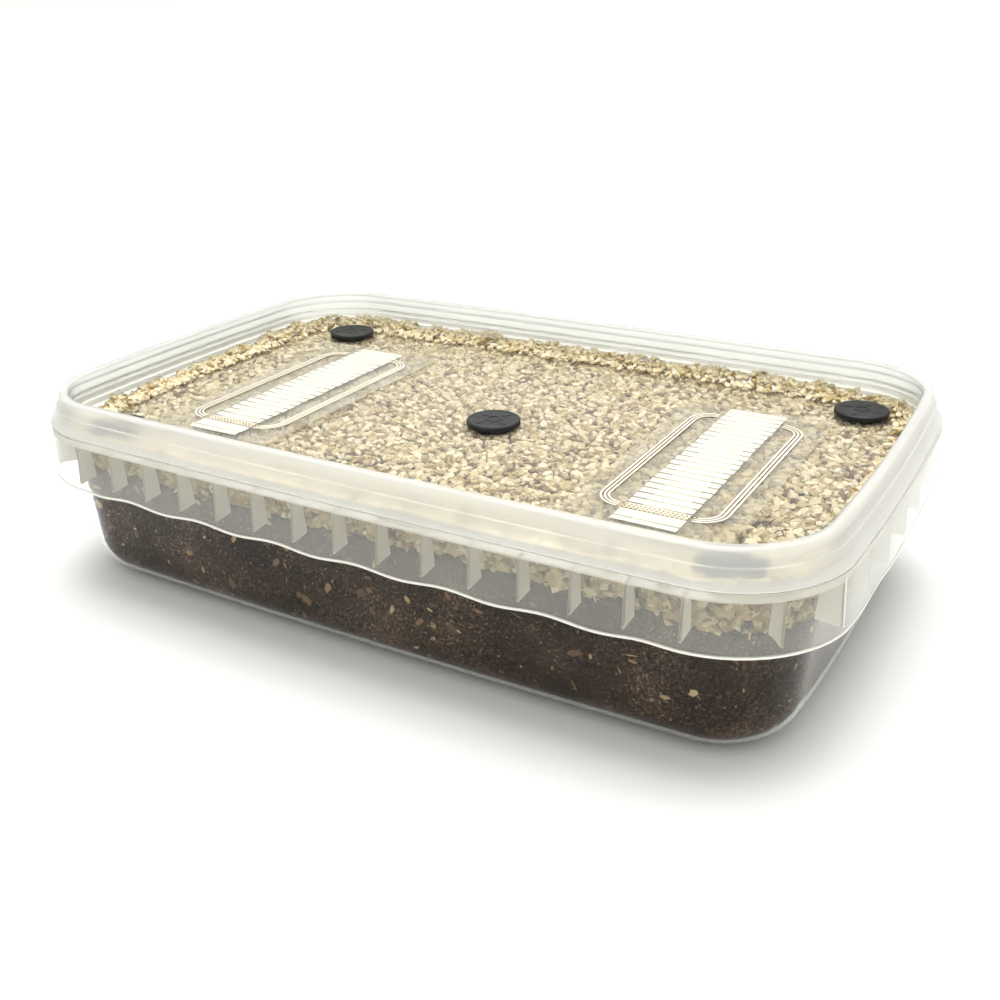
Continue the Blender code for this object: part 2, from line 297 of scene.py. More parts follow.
# The tub: natural polypropylene, injection moulded. Thin walls look clear with a faint haze.
tub = {
    "foot": 14.0,
    "footOffset": -1.8,
    "wall": 1.2,
    "floor": 0.9,
    "skirtBottom": 40.8,
    "bandBottom": 56.9,
    "bandTop": 59.5,
    "upstandTop": 67.0,
    "offsetAtSkirt": 0.2,
    "offsetAtBand": 1.4,
    "skirtOffset": 8.25,
    "bandOffset": 7.35,
    "skirtWall": 0.85,
    "waveHeight": 0.6,
    "edgeHeight": 0.72,
    "longRibPitch": 16.0,
    "longRibs": 15,
    "shortRibPitch": 21.5,
    "shortRibs": 7,
    "ribThickness": 0.8,
    # each rib's corners: how far out, and how high
    "ribCorners": ((-0.2, 44.2), (7.65, 43.2), (6.95, 58.0), (0.7, 58.0)),
}


def wallOffset(height):
    # how far the outer face of the wall stands outside the plan line
    if height < tub["skirtBottom"]:
        share = (height - tub["foot"]) / (tub["skirtBottom"] - tub["foot"])
        return tub["footOffset"] + (tub["offsetAtSkirt"] - tub["footOffset"]) * share
    share = (height - tub["skirtBottom"]) / (tub["bandBottom"] - tub["skirtBottom"])
    return tub["offsetAtSkirt"] + (tub["offsetAtBand"] - tub["offsetAtSkirt"]) * share


def wavyHeight(x, y):
    # the skirt's lower edge rises and falls once for every two ribs and is level round the corners
    wave = 0.0
    straightX, straightY = halfLength - plan["cornerRadius"], halfWidth - plan["cornerRadius"]
    if abs(x) < straightX:
        wave = math.cos(math.pi * (x - tub["longRibPitch"] / 2) / tub["longRibPitch"])
        wave *= min(1.0, (straightX - abs(x)) / 12)
    elif abs(y) < straightY:
        wave = math.cos(math.pi * (y - tub["shortRibPitch"] / 2) / tub["shortRibPitch"])
        wave *= min(1.0, (straightY - abs(y)) / 12)
    return tub["skirtBottom"] + tub["waveHeight"] * wave


def footProfile(inset, floor, steps=9):
    # the rounded bottom edge from the floor up to where the wall starts
    points = []
    for step in range(steps + 1):
        angle = math.radians(90 * step / steps)
        offset = tub["footOffset"] - tub["foot"] + (tub["foot"] - inset) * math.sin(angle)
        points.append((offset, floor + (tub["foot"] - floor) * (1 - math.cos(angle))))
    return points


def ribPlaces():
    # yields a function for each rib that gives its plan point at an offset
    for count, pitch, isLong in (
        (tub["longRibs"], tub["longRibPitch"], True),
        (tub["shortRibs"], tub["shortRibPitch"], False),
    ):
        for index in range(count):
            along = (index - (count - 1) / 2) * pitch
            for side in (1, -1):
                if isLong:
                    yield lambda o, a=along, s=side: bowed(a, s * (halfWidth + o), o)
                else:
                    yield lambda o, a=along, s=side: bowed(s * (halfLength + o), a, o)
    for sideX in (1, -1):
        for sideY in (1, -1):
            radius = plan["cornerRadius"]
            yield lambda o, sx=sideX, sy=sideY: bowed(
                sx * (halfLength - radius + (radius + o) * math.sqrt(0.5)),
                sy * (halfWidth - radius + (radius + o) * math.sqrt(0.5)),
                o,
            )


def makeRibs():
    # flat vanes that run from the wall to the skirt, lower at the skirt than at the wall
    shape = bmesh.new()
    for place in ribPlaces():
        corners = [Vector((*place(offset), height)) for offset, height in tub["ribCorners"]]
        inner, outer = corners[:2]
        across = Vector((outer.y - inner.y, inner.x - outer.x, 0)).normalized() * tub["ribThickness"]
        plate = [shape.verts.new((corner - across / 2) * mm) for corner in corners]
        face = shape.faces.new(plate)
        grown = bmesh.ops.extrude_face_region(shape, geom=[face], use_keep_orig=True)["geom"]
        moved = [part for part in grown if isinstance(part, bmesh.types.BMVert)]
        bmesh.ops.translate(shape, vec=across * mm, verts=moved)
    bmesh.ops.recalc_face_normals(shape, faces=shape.faces[:])
    for face in shape.faces:
        face.material_index = 1
    return shape


def makeTub(materials):
    wall = tub["wall"]
    skirtBottom, bandBottom, bandTop = tub["skirtBottom"], tub["bandBottom"], tub["bandTop"]
    outer = [(tub["footOffset"] - tub["foot"] - 8, 0.0), *footProfile(0.0, 0.0)]
    inner = [(tub["footOffset"] - tub["foot"] - 8, tub["floor"]), *footProfile(wall, tub["floor"])]
    upright = softened([
        (wallOffset(skirtBottom), skirtBottom, 0),
        (1.35, bandBottom - 0.6, 0.5),
        (2.6, bandBottom + 1.6, 0.8),
        (2.5, tub["upstandTop"], 0.4),
        (1.75, tub["upstandTop"], 0.35),
        (1.6, bandBottom + 2.2, 0.8),
        (0.2, bandBottom - 0.4, 0.8),
        (wallOffset(skirtBottom) - wall, skirtBottom, 0),
    ])
    shape = sweep(outer + upright + inner[::-1])
    piece = newPiece("clearTub", shape, materials)
    skirt, band = tub["skirtOffset"], tub["bandOffset"]
    level = softened([
        (2.1, bandTop, 0),
        (band, bandTop, 0.45),
        (band + 0.02, bandBottom, 0.25),
        (skirt - 0.02, skirtBottom + 1.6, 0),
    ])
    lowerEdge = [
        (skirt, lambda x, y: wavyHeight(x, y) + tub["edgeHeight"]),
        (skirt, wavyHeight),
        (skirt - tub["skirtWall"] - 0.1, wavyHeight),
        (skirt - tub["skirtWall"], lambda x, y: wavyHeight(x, y) + tub["edgeHeight"]),
    ]
    under = softened([
        (skirt - tub["skirtWall"] - 0.04, skirtBottom + 1.6, 0),
        (band - tub["skirtWall"], bandBottom, 0.3),
        (1.0, bandBottom, 0),
    ])
    skirtShape = sweep(level + lowerEdge + under, closed=True)
    for face in skirtShape.faces:
        centre = face.calc_center_median() / mm
        inEdge = centre.z < wavyHeight(centre.x, centre.y) + tub["edgeHeight"]
        inBand = centre.z > bandBottom - 0.2
        face.material_index = 1 if inEdge else 3 if inBand else 2
    combine(piece, newPiece("skirtHelper", skirtShape, materials, body=None), "UNION")
    combine(piece, newPiece("ribHelper", makeRibs(), materials, body=None), "UNION")
    piece.data.set_sharp_from_angle(angle=math.radians(38))
    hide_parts("tub")


# The lid: a tray pressed on to the tub, clear across the thin panel and milky up the thicker walls.
lid = {
    "panelReach": -4.3,
    "panelThickness": 1.0,
    "holeRadius": 6.0,
    "clearUpTo": 64.0,
    "wallOffset": 2.6,
    "rollDepth": 2.2,
}


def lidFinish(face):
    # 0 for the outer face and the rim's top, 1 for the panel, 2 for the faces that look inwards
    centre = face.calc_center_median() / mm
    if centre.z < panelTop + 0.35 and depthInside(np.array([centre]), 0.0)[0] > 0:
        return 1
    if centre.z > rimTop - lid["rollDepth"]:
        return 0
    outwards = face.normal.x * centre.x / halfLength + face.normal.y * centre.y / halfWidth
    outermost = depthInside(np.array([centre]), lid["wallOffset"])[0] < 0
    if outermost and (outwards > 0.1 or face.normal.z > 0.5):
        return 0
    return 1 if centre.z < lid["clearUpTo"] and not outermost else 2


def makeLid(materials, stoppers):
    reach, bottom, top = lid["panelReach"], panelTop - lid["panelThickness"], rimTop
    walls = softened([
        (reach - 1.7, bottom, 0),
        (reach, bottom, 0),
        (-2.5, bottom, 1.6),
        (0.75, top - 1.0, 0.6),
        (2.2, top - 1.4, 0.8),
        (3.9, 65.0, 0.5),
        (4.2, 62.0, 1.2),
        (6.15, 60.2, 0.4),
        (6.2, 59.8, 0),
        (7.18, 59.8, 0.12),
        (7.2, 60.7, 0.5),
        (5.25, 62.6, 1.4),
        (4.95, 65.45, 0.35),
        (4.35, 65.75, 0.3),
        (2.95, top - 0.3, 0.9),
        (1.4, top, 2.0),
        (-0.05, top - 0.4, 0.9),
        (-2.1, panelTop + 0.1, 1.3),
        (reach, panelTop, 0),
        (reach - 1.7, panelTop, 0),
    ])
    shape = sweep(walls)
    for face in shape.faces:
        face.material_index = lidFinish(face)
    piece = newPiece("clearLid", shape, materials)
    for index, (x, y, _) in enumerate(stoppers):
        cutter = bmesh.new()
        move = Matrix.Translation(Vector((x, y, panelTop)) * mm)
        radius = lid["holeRadius"] * mm
        bmesh.ops.create_cone(
            cutter, cap_ends=True, segments=48, radius1=radius, radius2=radius, depth=6 * mm, matrix=move
        )
        combine(piece, newPiece(f"holeHelper{index}", cutter, materials, body=None), "DIFFERENCE")
    piece.data.set_sharp_from_angle(angle=math.radians(38))
    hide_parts("lid")


# The filters: a scored white membrane strip laid over the panel, under a thin clear film welded down.
filters = {
    "centreX": 84.5,
    "centreY": -1.2,
    "stripHalfWidth": 10.7,
    "stripFrom": -46.3,
    "stripTo": 52.8,
    "footFrom": -55.2,
    "footTo": -46.4,
    "footLip": 3.0,
    "score": 0.62,
    "slats": 23,
    "filmHalf": (27.5, 56.5),
    "filmThickness": 0.12,
    "weldHalf": (21.0, 45.5),
    "weldRadius": 9.0,
    "weldPitch": 1.3,
    "weldHeight": 0.62,
    "beadHeight": 0.2,
    "weldDots": 17,
}


def addBox(shape, centre, size, index, tilt=0.0):
    # a small box, in millimetres, with one finish
    known = set(shape.faces)
    box = bmesh.ops.create_cube(shape, size=1.0)["verts"]
    bmesh.ops.scale(shape, vec=size, verts=box)
    for vert in box:
        vert.co.z += tilt * math.copysign(1, vert.co.y)
    bmesh.ops.translate(shape, vec=centre, verts=box)
    for face in set(shape.faces) - known:
        face.material_index = index
    return box


def makeStrip(side, node, materials):
    # one membrane, scored into narrow slats, with painted shadow as dark ticks where the scores gape, over
    # a grey backing that is painted shadow in the scores
    shape = bmesh.new()
    centreX, rest = side * filters["centreX"], panelTop + 0.32
    pitch = (filters["stripTo"] - filters["stripFrom"]) / filters["slats"]
    rng = random.Random(31 + side)
    foot, lip = filters["footFrom"], filters["footLip"]
    runs = [(filters["stripFrom"] + pitch * i, pitch) for i in range(filters["slats"])]
    runs += [(foot, lip), (foot + lip, filters["footTo"] - foot - lip)]
    for start, length in runs:
        half = filters["stripHalfWidth"] + rng.uniform(-0.25, 0.25)
        skew = rng.uniform(-0.14, 0.14)
        centre = (centreX, start + length / 2, rest + 0.12)
        box = addBox(shape, centre, (2 * half, length - filters["score"], 0.12), 0, tilt=0.03)
        for vert in box:
            vert.co.y += skew * math.copysign(1, vert.co.x - centreX)
    spanY = filters["stripTo"] - foot
    middleY = (filters["stripTo"] + foot) / 2
    # a grey backing under the slats: painted shadow that shows through every score
    addBox(shape, (centreX, middleY, rest), (2 * filters["stripHalfWidth"] - 0.8, spanY - 0.6, 0.06), 1)
    # dark ticks: painted shadow where a score gapes
    for index in range(1, filters["slats"]):
        near = 1 - index / filters["slats"]
        for edge in (-1, 1):
            length = rng.uniform(2.2, 4.2) + 2.4 * near * (edge < 0)
            y = filters["stripFrom"] + pitch * index + rng.uniform(-0.1, 0.1)
            x = centreX + edge * (filters["stripHalfWidth"] - length / 2 + rng.uniform(0.0, 0.9))
            addBox(shape, (x, y, rest + 0.2), (length, 0.45 + 0.35 * near, 0.05), 2)
    addBox(shape, (centreX - 7.6, foot + lip, rest + 0.2), (6.0, 0.4, 0.05), 2)
    bmesh.ops.scale(shape, vec=(mm, mm, mm), verts=shape.verts[:])
    piece = newPiece(node.replace("filter_strip", "membraneStrip"), shape, materials)
    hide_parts(node)


def addLoop(shape, halves, radius, width, height, index):
    # a thin flat-topped bead laid along a rounded rectangle, left out where it would cross the strip
    ring = bmesh.new()
    gap = filters["stripHalfWidth"] + 1.2
    roundedRectangle(ring, *halves, radius, 8)
    whole = ring.faces[:]
    bmesh.ops.inset_region(ring, faces=whole, thickness=width, use_even_offset=True, use_boundary=True)
    bmesh.ops.delete(ring, geom=whole, context="FACES")
    for cut in (-gap, gap):
        parts = ring.verts[:] + ring.edges[:] + ring.faces[:]
        bmesh.ops.bisect_plane(ring, geom=parts, plane_co=(cut, 0, 0), plane_no=(1, 0, 0))
    crossing = [face for face in ring.faces if abs(face.calc_center_median().x) < gap]
    bmesh.ops.delete(ring, geom=crossing, context="FACES")
    thicken(ring, filters["beadHeight"])
    bmesh.ops.translate(ring, vec=(0, 0, height), verts=ring.verts[:])
    bmesh.ops.recalc_face_normals(ring, faces=ring.faces[:])
    for face in ring.faces:
        face.material_index = index
    absorb(shape, ring)


def makeFilm(side, node, materials):
    # a thin film that lies on the panel and rises over the strip, with three weld beads round it
    shape = bmesh.new()
    centreX, centreY = side * filters["centreX"], filters["centreY"]
    halfX, halfY = filters["filmHalf"]
    bmesh.ops.create_grid(shape, x_segments=56, y_segments=114, size=1.0)
    bmesh.ops.scale(shape, vec=(halfX, halfY, 1.0), verts=shape.verts[:])
    seed = Vector((side * 40.0, 7.0, 0.0))
    for vert in shape.verts:
        x, y = vert.co.xy
        overStrip = min(1.0, max(0.0, (filters["stripHalfWidth"] + 2.4 - abs(x)) / 1.8))
        overStrip *= min(1.0, max(0.0, (54.8 - abs(y)) / 1.6))
        edge = min(1.0, (halfX - abs(x)) / 5, (halfY - abs(y)) / 5)
        ripple = noise.noise(Vector((x / 7, y / 13, 0)) + seed)
        ripple += 0.5 * noise.noise(Vector((x / 3, y / 4, 9)) + seed)
        vert.co.z = 0.33 + 0.32 * overStrip + 0.10 * edge * max(-0.4, ripple)
    thicken(shape, filters["filmThickness"])
    for bead in range(3):
        # each weld is a raised pale bead with a painted shadow, a thin brown line, along its inner side
        for index, width, inset in ((1, 0.55, 0.0), (2, 0.24, 0.5)):
            inset += bead * filters["weldPitch"]
            halves = [half - inset for half in filters["weldHalf"]]
            height = filters["weldHeight"] - 0.03 * index
            addLoop(shape, halves, filters["weldRadius"] - inset, width, height, index)
    # the same welds where they cross the strip are runs of dots
    for row in range(3):
        for column in range(filters["weldDots"]):
            share = column / (filters["weldDots"] - 1) - 0.5
            x = share * 2 * (filters["stripHalfWidth"] + 1.2) + 0.35 * row
            y = -filters["weldHalf"][1] + row * filters["weldPitch"] + 0.3
            addBox(shape, (x, y, filters["weldHeight"] + 0.16), (0.62, 0.55, 0.12), 3)
    bmesh.ops.translate(shape, vec=(centreX, centreY, panelTop), verts=shape.verts[:])
    bmesh.ops.scale(shape, vec=(mm, mm, mm), verts=shape.verts[:])
    bmesh.ops.recalc_face_normals(shape, faces=shape.faces[:])
    piece = newPiece(node.replace("filter_film", "weldedFilm"), shape, materials)
    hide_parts(node)


# The stoppers: black rubber ports with a low moulded ring and four short arms on the head.
stopper = {
    "neck": 5.6,
    "foot": 6.6,
    "ringRadius": 2.6,
    "armFrom": 4.2,
    "armTo": 7.6,
    "armWidth": 1.5,
    "relief": 0.08,
}


def makeStopper(node, x, y, turn, material):
    low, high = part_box(node)
    radius = (high.x - low.x) / 2 / mm
    top, rest, depth = high.z / mm - stopper["relief"], panelTop + 0.3, low.z / mm
    shape = bmesh.new()
    outline = softened([
        (0.0, depth, 0),
        (4.6, depth, 0.5),
        (stopper["foot"], depth + 0.9, 0.4),
        (stopper["foot"], rest - 1.6, 0.3),
        (stopper["neck"], rest - 1.6, 0.1),
        (stopper["neck"], rest, 0.1),
        (radius - 0.1, rest, 0.25),
        (radius, top, 0.75),
        (radius - 1.5, top + 0.02, 0.4),
        (radius - 1.9, top - 0.12, 0.3),
        (0.0, top - 0.12, 0),
    ])
    turnedSolid(shape, outline, 64)
    ring = stopper["ringRadius"]
    raised = bmesh.new()
    ringOutline = softened([
        (ring - 0.5, top - 0.5, 0),
        (ring + 0.5, top - 0.5, 0),
        (ring + 0.42, top + stopper["relief"], 0.2),
        (ring - 0.42, top + stopper["relief"], 0.2),
    ])
    points = [raised.verts.new(Vector((r, 0, z)) * mm) for r, z in ringOutline]
    face = raised.faces.new(points)
    fullTurn(raised, [face], 40)
    for arm in range(4):
        box = bmesh.ops.create_cube(raised, size=1.0)["verts"]
        length = stopper["armTo"] - stopper["armFrom"]
        bmesh.ops.scale(raised, vec=Vector((length, stopper["armWidth"], 0.6)) * mm, verts=box)
        edges = list({edge for vert in box for edge in vert.link_edges})
        middle = (stopper["armFrom"] + stopper["armTo"]) / 2
        offset = Vector((middle, 0, top + stopper["relief"] - 0.3)) * mm
        bmesh.ops.translate(raised, vec=offset, verts=box)
        rounded = bmesh.ops.bevel(
            raised, geom=edges, offset=0.25 * mm, segments=2, profile=0.5, affect="EDGES", material=-1
        )["verts"]
        whole = set(rounded) | {vert for vert in box if vert.is_valid}
        turnAbout(raised, 90 * arm + 45, list(whole))
    bmesh.ops.recalc_face_normals(raised, faces=raised.faces[:])
    absorb(shape, raised)
    turnAbout(shape, turn, shape.verts[:])
    bmesh.ops.translate(shape, vec=(x * mm, y * mm, 0), verts=shape.verts[:])
    name = node.replace("stopper_", "rubberStopper_")
    piece = newPiece(name, shape, [material])
    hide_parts(node)


# The growing substrate: pasteurised compost, dark and damp, pressed into the tub.
substrate = {
    "clearance": 0.38,
    "floorGap": 0.25,
    "top": 46.4,
    "chips": 560,
    "crumbs": 7500,
    "fibres": 60,
}


def bedHeight(x, y):
    # how high the compost reaches; the casing runs down deeper at the near right corner
    level = substrate["top"] + 1.5 * noise.noise(Vector((x / 16, y / 16, 2.0)))
    level += 0.9 * noise.noise(Vector((x / 6, y / 6, 5.0)))
    dip = math.exp(-(((x - 128) / 24) ** 2) - (((y + 74) / 22) ** 2))
    return level - 6.0 * dip


def makeSubstrate(material):
    inset = tub["wall"] + substrate["clearance"]
    floor = tub["floor"] + substrate["floorGap"]
    foot = footProfile(inset, floor)
    reach = tub["footOffset"] - tub["foot"]
    rows = [tub["foot"] + (substrate["top"] - 3 - tub["foot"]) * step / 18 for step in range(1, 19)]
    side = [(wallOffset(row) - inset, row) for row in rows]
    rim = wallOffset(substrate["top"]) - inset
    crown = [(rim, bedHeight), (rim - 2.0, bedHeight), (rim - 12.0, bedHeight)]
    shape = sweep([(reach - 8, floor), *foot, *side, *crown])
    for vert in shape.verts:
        # a lumpy surface that only ever sinks in from the wall
        spot = vert.co / mm
        lump = noise.noise(spot / 5.0) + 0.6 * noise.noise(spot / 1.9)
        if 3 < spot.z < substrate["top"] - 2:
            inward = Vector((-spot.x / halfLength, -spot.y / halfWidth, 0)).normalized()
            vert.co += inward * 0.28 * max(0.0, lump) * mm
    piece = newPiece("compostBlock", shape, [material], sharp=0)
    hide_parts("substrate")


def grainShapes(rng, thickness, kinds):
    # a few irregular flat grains about one unit across, as arrays of points, and their shared faces
    shapes = []
    for _ in range(kinds):
        grain = bmesh.new()
        ends = {"radius1": 0.5, "radius2": 0.42, "depth": thickness}
        bmesh.ops.create_cone(grain, cap_ends=True, cap_tris=False, segments=5, **ends)
        for vert in grain.verts:
            vert.co.x *= rng.uniform(0.72, 1.25)
            vert.co.y *= rng.uniform(0.62, 1.1)
            vert.co.z += rng.uniform(-0.09, 0.09)
        bmesh.ops.triangulate(grain, faces=grain.faces[:])
        bmesh.ops.recalc_face_normals(grain, faces=grain.faces[:])
        shapes.append(np.array([vert.co for vert in grain.verts]))
        faces = np.array([[vert.index for vert in face.verts] for face in grain.faces])
        grain.free()
    return shapes, faces


def grainSizes(rng, count, smallest, spread, lean, thinnest, thickest=1.0):
    # each grain's length, width and thickness, in millimetres
    length = smallest + spread * rng.beta(*lean, count)
    width = length * rng.uniform(0.65, 1.0, count)
    return np.stack([length, width, length * rng.uniform(thinnest, thickest, count)], 1)


def turnsFrom(normals, spins):
    # rotation matrices that carry +Z to each normal, after a spin about +Z
    normals = normals / np.linalg.norm(normals, axis=1)[:, None]
    helperAxis = np.where(np.abs(normals[:, 2:3]) < 0.9, [[0.0, 0.0, 1.0]], [[1.0, 0.0, 0.0]])
    across = np.cross(helperAxis, normals)
    across /= np.linalg.norm(across, axis=1)[:, None]
    other = np.cross(normals, across)
    c, s = np.cos(spins)[:, None], np.sin(spins)[:, None]
    return np.stack([across * c + other * s, other * c - across * s, normals], axis=2)


def scatter(name, shapes, faces, spots, sizes, normals, spins, kinds, shades, material, limit):
    # one joined mesh of many grains; limit moves any grain that would poke out of its space
    count = len(spots)
    base = np.array(shapes)[kinds]
    points = base * sizes[:, None, :]
    points = np.einsum("nij,nkj->nki", turnsFrom(normals, spins), points) + spots[:, None, :]
    points = limit(points)
    perGrain = points.shape[1]
    allFaces = (faces[None] + (np.arange(count) * perGrain)[:, None, None]).reshape(-1, 3)
    mesh = bpy.data.meshes.new(name)
    mesh.vertices.add(count * perGrain)
    mesh.vertices.foreach_set("co", (points.reshape(-1) * mm).astype(np.float32))
    mesh.loops.add(allFaces.size)
    mesh.loops.foreach_set("vertex_index", allFaces.reshape(-1).astype(np.int32))
    mesh.polygons.add(len(allFaces))
    mesh.polygons.foreach_set("loop_start", np.arange(0, allFaces.size, 3, dtype=np.int32))
    mesh.update(calc_edges=True)
    mesh.validate()
    tone = mesh.attributes.new("tone", "FLOAT", "POINT")
    tone.data.foreach_set("value", np.repeat(shades, perGrain).astype(np.float32))
    mesh.materials.append(material)
    mesh.shade_flat()
    piece = bpy.data.objects.new(name, mesh)
    bpy.context.scene.collection.objects.link(piece)
    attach(piece, "root")


def planPoints(distances, offsets):
    # points and outward directions along the plan line, by share of the way round
    ring = bmesh.new()
    layers = planRing(ring)
    home, outward = layers
    ordered = sorted(ring.verts, key=lambda v: math.atan2(v[home].y * halfLength / halfWidth, v[home].x))
    spots = np.array([v[home][:2] for v in ordered])
    ways = np.array([v[outward][:2] for v in ordered])
    ring.free()
    spots, ways = np.vstack([spots, spots[:1]]), np.vstack([ways, ways[:1]])
    steps = np.concatenate([[0], np.cumsum(np.linalg.norm(np.diff(spots, axis=0), axis=1))])
    at = distances * steps[-1]
    x, y, wayX, wayY = (np.interp(at, steps, column) for column in (*spots.T, *ways.T))
    normals = np.stack([wayX, wayY], 1)
    points = np.stack(bowed(x + wayX * offsets, y + wayY * offsets, offsets), 1)
    return points, normals / np.linalg.norm(normals, axis=1)[:, None]


def innerWall(heights):
    # the tub's inner face at each height, as an offset from the plan line
    low = np.array([wallOffset(h) for h in heights]) - tub["wall"]
    return np.where(heights > tub["bandBottom"] + 1, 1.55, low)


def depthInside(points, offset):
    # how far inside the rounded plan outline each point is, in millimetres
    x, y = np.abs(points[..., 0]), np.abs(points[..., 1])
    halfX = halfLength + offset + plan["shortBow"] * np.maximum(0, 1 - (y / halfWidth) ** 2)
    halfY = halfWidth + offset + plan["longBow"] * np.maximum(0, 1 - (x / halfLength) ** 2)
    radius = plan["cornerRadius"] + offset
    overX, overY = np.maximum(x - (halfX - radius), 0), np.maximum(y - (halfY - radius), 0)
    return radius - np.hypot(overX, overY)


# The casing: coarse golden vermiculite, heaped against the panel and up the gap round the tray.
casing = {
    "gridPitch": (2.3, 2.45),
    "sizes": (2.0, 5.8),
    "bandGrains": 3900,
    "ridgeGrains": 7000,
    # the smallest of those, and how much larger they run
    "ridgeSizes": (1.7, 2.6),
    # tone shifts: painted light for the ridge grains, painted shade for the lower layer and the wall grains
    "ridgePaintedLight": 0.15,
    "lowerLayerPaintedShade": 0.45,
    "wallPaintedShade": 0.85,
    "top": 53.75,
    "brownShare": 0.08,
}


def holdBelow(top):
    def limit(points):
        over = np.maximum(points[:, :, 2].max(1) - top, 0)
        points[:, :, 2] -= over[:, None]
        return points

    return limit


def holdInside(normals, top):
    # keeps grains within the tub's inner wall and below a height
    def limit(points):
        points = holdBelow(top)(points)
        wall = innerWall(points[:, :, 2].mean(1)) - 0.12
        over = np.maximum(-depthInside(points, wall[:, None]).min(1), 0)
        points[:, :, :2] -= (normals * over[:, None])[:, None, :]
        return points

    return limit


def makeCasing(shadeBedMaterial, grainMaterial):
    rng = np.random.default_rng(11)
    inset = tub["wall"] + 0.5
    low, high = substrate["top"] + 0.4, casing["top"] - 2.3
    rim = wallOffset(substrate["top"]) - inset - 3.2
    # a brown bed under the flakes: painted shade that shows in the gaps between them
    bed = sweep([(rim - 14, low), (rim, low), (rim, high), (rim - 5, high + 0.2)])
    piece = newPiece("casingShadeBed", bed, [shadeBedMaterial], sharp=0)
    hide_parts("vermiculite")

    shapes, faces = grainShapes(random.Random(5), 0.34, 10)
    smallest, largest = casing["sizes"]
    for layer, pitch in enumerate(casing["gridPitch"]):
        columns = np.arange(-halfLength, halfLength, pitch)
        rows = np.arange(-halfWidth, halfWidth, pitch)
        grid = np.stack(np.meshgrid(columns, rows), -1).reshape(-1, 2)
        grid = grid + rng.uniform(-0.6, 0.6, grid.shape) * pitch
        grid = grid[depthInside(grid, -2.2) > 0]
        count = len(grid)
        sizes = grainSizes(rng, count, smallest, largest - smallest, (1.5, 2.4), 0.5)
        # painted shade: the lower layer is darkened so that it reads as shaded in the gaps of the top layer
        shades = grainTones(rng, count) * (1.0 if layer else casing["lowerLayerPaintedShade"])
        heights = casing["top"] - (0.35 if layer else 1.5) - np.abs(rng.normal(0, 0.75, count))
        tilt = rng.normal(0, 0.36, (count, 2))
        normals = np.column_stack([tilt, np.ones(count)])
        spots = np.column_stack([grid, heights])
        scatter(
            f"casingGrains{layer}", shapes, faces, spots, sizes, normals, rng.uniform(0, 6.28, count),
            rng.integers(0, 10, count), shades, grainMaterial, holdBelow(casing["top"]),
        )

    # grains that lie against the tub wall, seen through it
    count = casing["bandGrains"]
    around = rng.uniform(0, 1, count)
    flat, ways = planPoints(around, np.full(count, -1.0))
    floor = np.array([bedHeight(x, y) for x, y in flat])
    heights = floor - 0.4 + (57.6 - floor) * rng.uniform(0, 1, count)
    depth = 0.4 + 3.4 * rng.uniform(0, 1, count) ** 1.3
    flat, ways = planPoints(around, innerWall(heights) - depth)
    sizes = grainSizes(rng, count, smallest, largest + 1.2 - smallest, (1.5, 2.3), 0.55)
    # painted shade: wall grains are darkened overall, and more the deeper they lie behind the wall; then a
    # random spread of tone
    shades = grainTones(rng, count) * casing["wallPaintedShade"] * (1.12 - 0.16 * depth)
    shades = shades * rng.uniform(0.5, 1.25, count)
    normals = np.column_stack([ways + rng.normal(0, 0.55, (count, 2)), rng.normal(0.2, 0.6, count)])
    # nothing sits in the tray's own space above the panel
    keep = heights < 54.5
    spots = np.column_stack([flat, heights])
    scatter(
        "casingWallGrains", shapes, faces, spots[keep], sizes[keep], normals[keep],
        rng.uniform(0, 6.28, count)[keep], rng.integers(0, 10, count)[keep], shades[keep],
        grainMaterial, holdInside(ways[keep], 55.5),
    )

    # grains pushed up between the tray wall and the tub wall
    count = casing["ridgeGrains"]
    around = rng.uniform(0, 1, count)
    flat, ways = planPoints(around, np.zeros(count))
    crest = np.array([ridgeHeight(x, y) for x, y in flat])
    heights = 54.2 + (crest - 54.2) * rng.uniform(0, 1, count) ** 0.75
    trayFace = -2.1 + (heights - 57.5) * 0.26
    innermost = np.where(heights < 56.2, -8.0, trayFace + 0.6)
    flat, ways = planPoints(around, innermost + (0.75 - innermost) * rng.uniform(0, 1, count))
    smallest, spread = casing["ridgeSizes"]
    sizes = grainSizes(rng, count, smallest, spread, (1.6, 2.2), 0.5, 0.9)
    normals = np.column_stack([rng.normal(0, 0.5, (count, 2)) - 0.25 * ways, np.ones(count)])
    spots = np.column_stack([flat, heights])
    spins, kinds = rng.uniform(0, 6.28, count), rng.integers(0, 10, count)
    # painted light: the ridge grains are lifted in tone for the light they catch up in the gap
    shades = casing["ridgePaintedLight"] + grainTones(rng, count)
    scatter(
        "casingRidgeGrains", shapes, faces, spots, sizes, normals, spins, kinds, shades,
        grainMaterial, holdInside(ways, 62.5),
    )


def grainTones(rng, count):
    # most grains are pale, some golden, a few brown
    tones = 0.3 + 0.7 * rng.beta(2.2, 1.5, count)
    brown = rng.uniform(0, 1, count) < casing["brownShare"]
    return np.where(brown, rng.uniform(0.0, 0.3, count), tones)


def ridgeHeight(x, y):
    # how far the casing has worked up the gap round the tray: most along the far side
    level = 57.0 + 2.1 * noise.noise(Vector((x / 9, y / 9, 0)))
    level += 1.2 * noise.noise(Vector((x / 3, y / 3, 4)))
    farSide = min(1.0, max(0.0, y / 60))
    corner = math.exp(-(((x - 130) / 26) ** 2) - (((y + 78) / 24) ** 2))
    return level + 2.0 * farSide + 2.2 * corner


